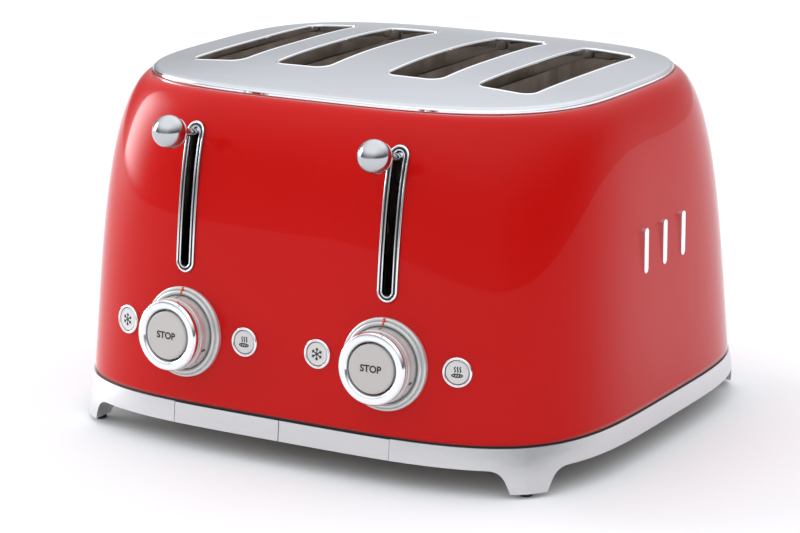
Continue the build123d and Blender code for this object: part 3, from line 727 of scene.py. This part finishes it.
class TOASTER_OT_base(bpy.types.Operator):
    """Finishes the base band, tray fronts, seal and feet"""

    bl_idname = "toaster.base"
    bl_label = "Base band and feet"

    def execute(self, context):
        dress(("base_band", "tray_front"), "band")
        dress(("seam_gasket", "foot_pads"), "seal")
        dress(("base_plate",), "sheet")
        dress(("base_screws",), "wire")
        dress(("cord_gland",), "black")
        return {"FINISHED"}


# Levers -------------------------------------------------------------------------------------------
STEM_R = 2.2 * MM
COLLAR_R = 8.2 * MM
COLLAR_PROFILE = [
    (2.2, 12), (2.6, 9.4), (3.8, 8.2), (7.7, 7.0), (8.2, 6.3), (8.2, 5.5), (7.85, 5.15), (7.7, 4.9),
]
BALL_STOPS = 26
FRAME_POINTS = 120
FRAME_PAINTED_SHADE_ROWS = (0, 10, 11, 12, 13, 14)  # the rows of the frame's foot and of its groove, given the dark rubber finish as painted shade lines


class TOASTER_OT_levers(bpy.types.Operator):
    """Builds the lever slots' frames and the ball-ended levers"""

    bl_idname = "toaster.levers"
    bl_label = "Levers"

    def execute(self, context):
        for side, sign in SIDES:
            self.frame_round(side, sign)
            self.ball(side, sign)
        return {"FINISHED"}

    def frame_round(self, side, sign):
        """The chrome frame: a section carried round the slot, on the leaning surface."""
        outer = sizes().bezel_width / 2
        inner = sizes().lever_gap / 2
        section = [
            (outer, -1.2 * MM),
            (outer, 0.9 * MM),
            (outer - 0.6 * MM, 1.25 * MM),
            (outer - 1.1 * MM, 1.0 * MM),
            (outer - 1.2 * MM, 0.35 * MM),
            (inner + 0.85 * MM, 0.35 * MM),
            (inner + 0.7 * MM, 1.2 * MM),
            (inner, 1.1 * MM),
            (inner, -2.8 * MM),
        ]
        rings = []
        for point in rounded_profile([(reach, proud, 0) for reach, proud in section], 0.2 * MM, 2):
            shares = [k / FRAME_POINTS for k in range(FRAME_POINTS)]
            rings.append([self.on_slot(sign, share, point.x, point.y) for share in shares])
        mesh = grid_mesh(f"lever_frame_{side}", rings)
        stands_for = [f"lever_bezel_{side}"]
        # The frame's foot and groove take the dark rubber finish: painted shade for the shadow lines round the
        # frame
        piece = new_piece(mesh.name, mesh, ["chrome", "seal"], "base", stands_for, 50.0)
        tinted(piece, lambda index: index // FRAME_POINTS in FRAME_PAINTED_SHADE_ROWS)

    def on_slot(self, sign, share, reach, proud):
        """A point round the slot at a share of the way, off its middle line by reach."""
        half = LEVER_TRAVEL / 2
        way = share * 4
        if way < 1:
            x, z = reach, -half + LEVER_TRAVEL * way
        elif way < 2:
            angle = math.pi * (way - 1)
            x, z = reach * math.cos(angle), half + reach * math.sin(angle)
        elif way < 3:
            x, z = -reach, half - LEVER_TRAVEL * (way - 2)
        else:
            angle = math.pi * (way - 2)
            x, z = reach * math.cos(angle), -half + reach * math.sin(angle)
        x += sign * LEVER_X
        z += LEVER_Z - half
        return Vector((x, BODY_Y + front_y(x, z), z)) + front_normal(x, z) * proud

    def ball(self, side, sign):
        """Ball, collar and stem, turned in one piece about the stem's outer run, and the inner arm."""
        meet = math.acos(COLLAR_R / BALL_R)
        bend = Vector((sign * LEVER_X, BODY_Y + front_y(LEVER_X, LEVER_Z) - MM, LEVER_Z))
        centre = Vector((sign * LEVER_X, BALL_LOW.y + BALL_R, LEVER_Z + BALL_RISE))
        back = bend - centre
        profile = [(STEM_R, back.length)]
        for radius, height in COLLAR_PROFILE:
            profile.append((radius * MM, height * MM))
        for k in range(1, BALL_STOPS):
            angle = meet - (meet + math.pi / 2) * k / BALL_STOPS
            profile.append((BALL_R * math.cos(angle), BALL_R * math.sin(angle)))
        place = Matrix.Translation(centre) @ back.to_track_quat("Z", "X").to_matrix().to_4x4()
        outer = lathe(f"lever_{side}_ball", profile, place, 72, close_start=True, close_end=True)
        body = f"lift_{side}"
        # The ball, collar and stem take the darker ball chrome, which is painted shade
        new_piece(outer.name, outer, ["ball"], body, [f"lever_ball_{side}"], 45.0)
        inward = Matrix.Translation(bend) @ Matrix.Rotation(-math.pi / 2, 4, "X")
        reach = BALL_HIGH.y - bend.y
        arm = [(0.6 * STEM_R, -0.8 * STEM_R), (STEM_R, 0), (STEM_R, reach)]
        inner = lathe(f"lever_{side}_arm", arm, inward, 32, close_start=True, close_end=True)
        new_piece(inner.name, inner, ["chrome"], body, smooth_angle=45.0)


# Dials and buttons --------------------------------------------------------------------------------
BUTTON_SPREAD = 42.4 * MM
RING_PROFILE = [
    (26.0, -4.5), (26.0, 1.2), (25.3, 2.0), (24.4, 1.8), (24.2, 1.3), (23.9, 1.3), (23.8, 3.0),
    (23.0, 3.5), (22.3, 3.3), (22.1, 2.7), (21.7, 2.7), (21.5, 0.6), (13.0, 0.6), (13.0, -4.5),
]
KNOB_PROFILE = [
    (17.5, 1.5), (20.9, 1.5), (20.9, 4.0), (20.5, 10.0), (20.0, 10.3), (19.4, 10.4), (19.4, 11.0),
    (20.2, 11.2), (20.4, 14.9), (19.5, 16.5), (16.0, 16.6), (15.0, 15.7), (14.5, 14.0), (14.5, 8.0), (4.0, 8.0),
]
CAP_PROFILE = [(13.8, 12.3), (13.8, 15.7), (13.1, 16.25), (11.8, 16.3), (6.0, 16.3), (0.3, 16.3)]
BUTTON_RING_PROFILE = [
    (8.5, -3.5), (8.5, 0.9), (8.0, 1.6), (7.2, 1.55), (6.9, 1.1), (6.8, 0.2), (6.8, -3.5),
]
BUTTON_PROFILE = [(6.5, -3.0), (6.5, 0.9), (5.9, 1.25), (5.3, 1.0), (4.9, 1.05), (2.0, 1.1), (0.2, 1.1)]
DIGIT_STEP = 50.0
RIM_START = 10.6  # where a knob's silver skirt ends and its polished rim begins
SKIRT_R = 20.78 * MM  # the knob's skirt where its digits are printed
SKIRT_HEIGHT = 6.8 * MM
SKIRT_SLOPE = 0.067
DIGIT_SIZE = 4.2 * MM
CAP_TOP = 16.33 * MM
ICON_HEIGHT = 1.12 * MM
TURNED_ROUND = 0.35


def dial_matrix(side):
    """A dial's frame: z points out of the body along the knob's axis, x is level."""
    turn = joint(f"knob_{side}_turn")
    out = -Vector(turn["axis"]).normalized()
    level = Vector((-out.y, out.x, 0)).normalized()
    matrix = Matrix((level, out.cross(level), out)).transposed().to_4x4()
    matrix.translation = Vector(turn["pos_m"])
    return matrix


def turned(name, profile, matrix, radius=TURNED_ROUND, segments=128, close_end=False):
    """A turned piece from (radius, height) corners in millimetres, with small rounded corners."""
    points = rounded_profile([(r * MM, h * MM, 0) for r, h in profile], radius * MM, 3)
    return lathe(name, [(point.x, point.y) for point in points], matrix, segments, close_end=close_end)


def lettering(name, words, size, matrix, thickness=0.05 * MM):
    """Thin raised letters, centred on the matrix's origin and facing along its z axis."""
    font = bpy.data.curves.new(name, "FONT")
    font.body = words
    font.size = size
    font.extrude = thickness
    font.offset = size * 0.030
    font.align_x = "CENTER"
    font.align_y = "CENTER"
    font.resolution_u = 6
    return curve_mesh(name, font, matrix)


def curve_mesh(name, curve, matrix):
    """The mesh of a curve or text, moved by a matrix."""
    holder = bpy.data.objects.new(name, curve)
    bpy.context.scene.collection.objects.link(holder)
    graph = bpy.context.evaluated_depsgraph_get()
    mesh = bpy.data.meshes.new_from_object(holder.evaluated_get(graph))
    bpy.data.objects.remove(holder)
    mesh.materials.clear()
    mesh.transform(matrix)
    return mesh


def strokes(name, lines, matrix):
    """An icon drawn as round strokes along lines of (x, y) points in millimetres."""
    curve = bpy.data.curves.new(name, "CURVE")
    curve.dimensions = "3D"
    curve.bevel_depth = sizes().icon_line
    curve.bevel_resolution = 2
    curve.use_fill_caps = True
    for line in lines:
        spline = curve.splines.new("POLY")
        spline.points.add(len(line) - 1)
        for point, (x, y) in zip(spline.points, line):
            point.co = (x * MM, y * MM, 0, 1)
    return curve_mesh(name, curve, matrix @ Matrix.Diagonal((1, 1, 0.5, 1)))


def snowflake():
    """Six arms with side twigs."""
    lines = []
    for k in range(6):
        angle = math.radians(30 + 60 * k)
        way = (math.cos(angle), math.sin(angle))
        lines.append([(0, 0), (3.6 * way[0], 3.6 * way[1])])
        for turn in (-0.75, 0.75):
            twig = (math.cos(angle + turn), math.sin(angle + turn))
            start = (2.1 * way[0], 2.1 * way[1])
            lines.append([start, (start[0] + 1.2 * twig[0], start[1] + 1.2 * twig[1])])
    return lines


def warm_bread():
    """Three wisps of steam over a flat loaf."""
    lines = []
    for x in (-1.5, 0.0, 1.5):
        steps = [k / 12 for k in range(13)]
        wisp = [(x + 0.38 * math.sin(2 * math.pi * t) + 0.5 * t, 0.1 + 3.0 * t) for t in steps]
        lines.append(wisp)
    loaf = []
    for k in range(25):
        angle = 2 * math.pi * k / 24
        loaf.append((3.0 * math.cos(angle), -1.7 + 0.85 * math.sin(angle)))
    lines.append(loaf)
    for x in (-1.4, 0.0, 1.4):
        lines.append([(x - 0.35, -2.05), (x + 0.35, -1.35)])
    return lines


class TOASTER_OT_dials(bpy.types.Operator):
    """Builds the dial rings, browning knobs and stop buttons"""

    bl_idname = "toaster.dials"
    bl_label = "Browning dials"

    def execute(self, context):
        for side, _ in SIDES:
            place = dial_matrix(side)
            ring = turned(f"dial_{side}_ring", RING_PROFILE, place)
            new_piece(ring.name, ring, ["silver"], "base", [f"dial_ring_{side}"], 50.0)
            self.knob(side, place)
            cap = turned(f"dial_{side}_stop_cap", CAP_PROFILE, place, close_end=True)
            body = f"stop_{side}"
            new_piece(cap.name, cap, ["cap"], body, [f"stop_button_{side}"])
            top = place @ Matrix.Translation((0, 0, CAP_TOP))
            word = lettering(f"dial_{side}_stop_word", "STOP", sizes().stop_text, top)
            new_piece(word.name, word, ["ink"], body)
            self.pointer(side, place)
        return {"FINISHED"}

    def knob(self, side, place):
        mesh = turned(f"dial_{side}_knob", KNOB_PROFILE, place)
        body = f"knob_{side}"
        finishes = ["silver", "satin_chrome"]
        stands_for = [f"browning_knob_{side}"]
        piece = new_piece(mesh.name, mesh, finishes, body, stands_for, 50.0)
        inverse = place.inverted()
        tinted(piece, lambda index: (inverse @ mesh.polygons[index].center).z > RIM_START * MM)
        for k in range(6):
            spot = self.on_skirt(place, k * DIGIT_STEP)
            digit = lettering(f"dial_{side}_digit_{k + 1}", str(k + 1), DIGIT_SIZE, spot)
            new_piece(digit.name, digit, ["ink"], body)
        for k in range(5):
            spot = self.on_skirt(place, (k + 0.5) * DIGIT_STEP)
            profile = [(0.45 * MM, -0.1 * MM), (0.4 * MM, 0.06 * MM)]
            dot = lathe(f"dial_{side}_dot_{k + 1}", profile, spot, 16, close_end=True)
            new_piece(dot.name, dot, ["ink"], body)

    def on_skirt(self, place, degrees):
        """A frame on the knob's skirt, counter-clockwise from the top, its up towards the body."""
        angle = math.radians(degrees)
        flat = Vector((-math.sin(angle), math.cos(angle), 0))
        out = (flat + Vector((0, 0, SKIRT_SLOPE))).normalized()
        back = (Vector((0, 0, -1)) + out * out.z).normalized()
        spot = Matrix((back.cross(out), back, out)).transposed().to_4x4()
        spot.translation = flat * SKIRT_R + Vector((0, 0, SKIRT_HEIGHT))
        return place @ spot

    def pointer(self, side, place):
        """The red mark at the top of the ring, laid over its steps."""
        inner, outer = 22.0, 25.8
        points = rounded_profile([(r * MM, h * MM, 0) for r, h in RING_PROFILE], TURNED_ROUND * MM, 3)
        half = 0.65 * MM
        on_top = [p for p in points if inner * MM <= p.x <= outer * MM and p.y > MM]
        rows = [(p.x, p.y + 0.1 * MM) for p in on_top]
        mesh = bpy.data.meshes.new(f"dial_{side}_pointer")
        vertices, faces = [], []
        for k, (reach, height) in enumerate(rows):
            for x in (-half, half):
                vertices.append(place @ Vector((x, reach, height)))
            if k:
                faces.append((2 * k - 2, 2 * k - 1, 2 * k + 1, 2 * k))
        mesh.from_pydata(vertices, [], faces)
        mark = new_piece(mesh.name, mesh, ["pointer"], "base")
        wall = mark.modifiers.new("wall", "SOLIDIFY")
        wall.thickness = 0.3 * MM
        wall.offset = 0.0
        baked(mark)


class TOASTER_OT_buttons(bpy.types.Operator):
    """Builds the defrost and reheat buttons with their rings and icons"""

    bl_idname = "toaster.buttons"
    bl_label = "Defrost and reheat buttons"

    def execute(self, context):
        for side, _ in SIDES:
            dial = dial_matrix(side).translation
            for kind, way, icon in (("defrost", -1, snowflake()), ("reheat", 1, warm_bread())):
                place = control_matrix(dial.x + way * BUTTON_SPREAD, dial.z)
                ring = turned(f"{kind}_{side}_ring", BUTTON_RING_PROFILE, place, segments=72)
                new_piece(ring.name, ring, ["satin_chrome"], "base", ["button_rings"], 50.0)
                cap = turned(f"{kind}_{side}_cap", BUTTON_PROFILE, place, segments=72, close_end=True)
                body = f"{kind}_{side}"
                new_piece(cap.name, cap, ["button"], body, [f"{kind}_button_{side}"])
                face = place @ Matrix.Translation((0, 0, ICON_HEIGHT))
                drawn = strokes(f"{kind}_{side}_icon", icon, face)
                new_piece(drawn.name, drawn, ["ink"], body)
        return {"FINISHED"}


# Trim and inner parts -----------------------------------------------------------------------------
class TOASTER_OT_trim(bpy.types.Operator):
    """Finishes the plain bars on the side"""

    bl_idname = "toaster.trim"
    bl_label = "Side trim"

    def execute(self, context):
        dress(("side_trim",), "chrome")
        return {"FINISHED"}


class TOASTER_OT_inside(bpy.types.Operator):
    """Finishes the parts inside, and puts a wire copy of each lift spring in its place"""

    bl_idname = "toaster.inside"
    bl_label = "Inner parts"

    def execute(self, context):
        dress(("front_end", "rear_end", "centre_shield", "outer_shield", "carriage"), "sheet")
        dress(("slot_liner",), "liner")
        dress(("guards", "guide_rod"), "wire")
        dress(("heater_board",), "mica")
        dress(("heater_ribbons",), "ribbon")
        dress(("control_board",), "board")
        dress(("dial_pot", "latch_magnet"), "black")
        for side, _ in SIDES:
            self.spring(side)
        return {"FINISHED"}

    def spring(self, side):
        node = f"lift_spring_{side}"
        mesh = NODES[node].data.copy()
        mesh.name = f"lift_coil_{side}"
        mesh.materials.clear()
        coil = new_piece(mesh.name, mesh, ["wire"], "base", [node])
        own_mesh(coil)


# Stage --------------------------------------------------------------------------------------------
CAMERA_AZIMUTH = 30.44
CAMERA_ELEVATION = 13.78
CAMERA_DISTANCE = 1.7129
CAMERA_LENS = 129.44
CAMERA_ROLL = -0.375
AIM_RIGHT = -8.4 * MM
AIM_UP = -24.2 * MM
FLOOR_REACH = 9.0
# A softbox low on the left: its strength fades forwards, and the rest are its edges
SOFTBOX = (
    ("Y", -0.50, 0.02, 0.0, 12.0),
    ("Y", 0.05, 0.12, 1.0, 0.0),
    ("X", -0.75, -0.85, 0.0, 1.0),
    ("Z", 0.30, 0.60, 1.0, 0.0),
    ("Z", -0.02, 0.03, 0.0, 1.0),
)
# Glows added along an axis of the sky: overhead, behind, and a faint one at the horizon
GLOWS = (("Z", 0.05, 0.75, 0.0, 1.10), ("Y", 0.3, 0.95, 0.0, 0.20), ("Z", -0.02, 0.24, 0.12, 0.0))


def spread(tree, source, start, end, low, high):
    """A smooth step of a value, from low at start to high at end."""
    node = tree.nodes.new("ShaderNodeMapRange")
    node.interpolation_type = "SMOOTHSTEP"
    for socket, value in (("From Min", start), ("From Max", end), ("To Min", low), ("To Max", high)):
        node.inputs[socket].default_value = value
    tree.links.new(source, node.inputs["Value"])
    return node.outputs["Result"]


def combined(tree, operation, first, second):
    """Two values joined by a math operation."""
    node = tree.nodes.new("ShaderNodeMath")
    node.operation = operation
    tree.links.new(first, node.inputs[0])
    tree.links.new(second, node.inputs[1])
    return node.outputs["Value"]


class TOASTER_OT_stage(bpy.types.Operator):
    """Sets the pale floor, soft lights and camera"""

    bl_idname = "toaster.stage"
    bl_label = "Stage"

    def execute(self, context):
        self.floor()
        self.lights()
        self.camera()
        return {"FINISHED"}

    def floor(self):
        mesh = bpy.data.meshes.new("floor")
        around = ((-1, -1), (1, -1), (1, 1), (-1, 1))
        corners = [(x * FLOOR_REACH, y * FLOOR_REACH, 0) for x, y in around]
        mesh.from_pydata(corners, [], [(0, 1, 2, 3)])
        floor = bpy.data.objects.new("floor", mesh)
        bpy.context.scene.collection.objects.link(floor)
        paper = rgba((0.90, 0.905, 0.92))
        material, shader = blank("floor_paper", Base_Color=paper, Specular_IOR_Level=0.1)
        marks = place_group(material, handling(), Low=0.85, High=0.95)
        material.node_tree.links.new(marks.outputs["Roughness"], shader.inputs["Roughness"])
        mesh.materials.append(material)

    def lights(self):
        """A pale studio sky: bright overhead and behind, dim to the sides, with one softbox."""
        world = bpy.data.worlds.new("studio")
        bpy.context.scene.world = world
        world.use_nodes = True
        tree = world.node_tree
        where = tree.nodes.new("ShaderNodeTexCoord")
        parts = tree.nodes.new("ShaderNodeSeparateXYZ")
        away = tree.nodes.new("ShaderNodeMath")
        away.operation = "ABSOLUTE"
        tree.links.new(where.outputs["Generated"], parts.inputs["Vector"])
        tree.links.new(parts.outputs["X"], away.inputs[0])
        level = spread(tree, away.outputs["Value"], 0.35, 0.9, 0.32, 0.05)
        glows = [spread(tree, parts.outputs[axis], *values) for axis, *values in GLOWS]
        softbox, *edges = [spread(tree, parts.outputs[axis], *values) for axis, *values in SOFTBOX]
        for edge in edges:
            softbox = combined(tree, "MULTIPLY", softbox, edge)
        for glow in (*glows, softbox):
            level = combined(tree, "ADD", level, glow)
        background = tree.nodes["Background"]
        background.inputs["Color"].default_value = (0.96, 0.98, 1.0, 1.0)
        tree.links.new(level, background.inputs["Strength"])

    def camera(self):
        camera = bpy.data.objects.new("camera", bpy.data.cameras.new("camera"))
        bpy.context.scene.collection.objects.link(camera)
        azimuth, elevation = math.radians(CAMERA_AZIMUTH), math.radians(CAMERA_ELEVATION)
        level = math.cos(elevation)
        back = Vector((math.sin(azimuth) * level, -math.cos(azimuth) * level, math.sin(elevation)))
        right = Vector((math.cos(azimuth), math.sin(azimuth), 0))
        up = back.cross(right)
        target = Vector((0, BODY_Y, CROWN_Z / 2))
        camera.location = target + back * CAMERA_DISTANCE
        aim = target + right * AIM_RIGHT + up * AIM_UP
        facing = (aim - camera.location).to_track_quat("-Z", "Y").to_matrix().to_4x4()
        camera.rotation_euler = (facing @ Matrix.Rotation(math.radians(CAMERA_ROLL), 4, "Z")).to_euler()
        camera.data.lens = CAMERA_LENS
        camera.data.clip_end = 50
        bpy.context.scene.camera = camera
        bpy.context.scene.view_settings.view_transform = "Standard"


class TOASTER_PT_panel(bpy.types.Panel):
    """Lists the steps that build the toaster"""

    bl_idname = "TOASTER_PT_panel"
    bl_label = "Pop-up toaster"
    bl_space_type = "VIEW_3D"
    bl_region_type = "UI"
    bl_category = "Toaster"

    def draw(self, context):
        for group in (context.scene.toaster_sizes, context.scene.toaster_colours):
            for name in group.__annotations__:
                self.layout.prop(group, name)
        for operator in OPERATORS:
            self.layout.operator(operator.bl_idname)


PROPERTY_GROUPS = (ToasterSizes, ToasterColours)
OPERATORS = (
    TOASTER_OT_stage,
    TOASTER_OT_shell,
    TOASTER_OT_top_plate,
    TOASTER_OT_collars,
    TOASTER_OT_base,
    TOASTER_OT_levers,
    TOASTER_OT_dials,
    TOASTER_OT_buttons,
    TOASTER_OT_trim,
    TOASTER_OT_inside,
)
CLASSES = (*PROPERTY_GROUPS, *OPERATORS, TOASTER_PT_panel)


def register():
    for cls in CLASSES:
        bpy.utils.register_class(cls)
    bpy.types.Scene.toaster_sizes = bpy.props.PointerProperty(type=ToasterSizes)
    bpy.types.Scene.toaster_colours = bpy.props.PointerProperty(type=ToasterColours)


def unregister():
    del bpy.types.Scene.toaster_colours
    del bpy.types.Scene.toaster_sizes
    for cls in reversed(CLASSES):
        bpy.utils.unregister_class(cls)


def main():
    register()
    for operator in OPERATORS:
        area, step = operator.bl_idname.split(".")
        getattr(getattr(bpy.ops, area), step)()


if __name__ == "__main__":
    main()
